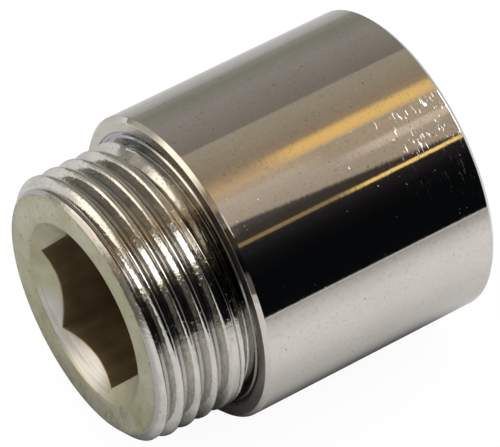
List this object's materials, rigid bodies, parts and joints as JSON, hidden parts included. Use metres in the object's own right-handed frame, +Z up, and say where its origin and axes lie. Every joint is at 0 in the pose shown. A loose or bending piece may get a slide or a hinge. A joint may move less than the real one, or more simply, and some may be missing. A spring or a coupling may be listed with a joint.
{
  "type": "male-female pipe extension",
  "caption": "Short round plated brass pipe extension with a male pipe thread, a female socket and a hexagonal through bore.",
  "frame": {"origin": "on the fitting's axis at the middle of its length", "axes": "+X along the axis from the male end to the female end, +Z up as the fitting lies on its barrel, +Y completing the right-handed set"},
  "size_m": [0.035, 0.03, 0.03],
  "materials": {
    "plated_brass": "bright chrome plating over turned brass, polished barrel, satin end faces",
    "washer_rubber": "matt black moulded rubber"
  },
  "bodies": {
    "root": {"extension_body": "plated_brass", "sealing_washer": "washer_rubber"}
  },
  "joints": []
}
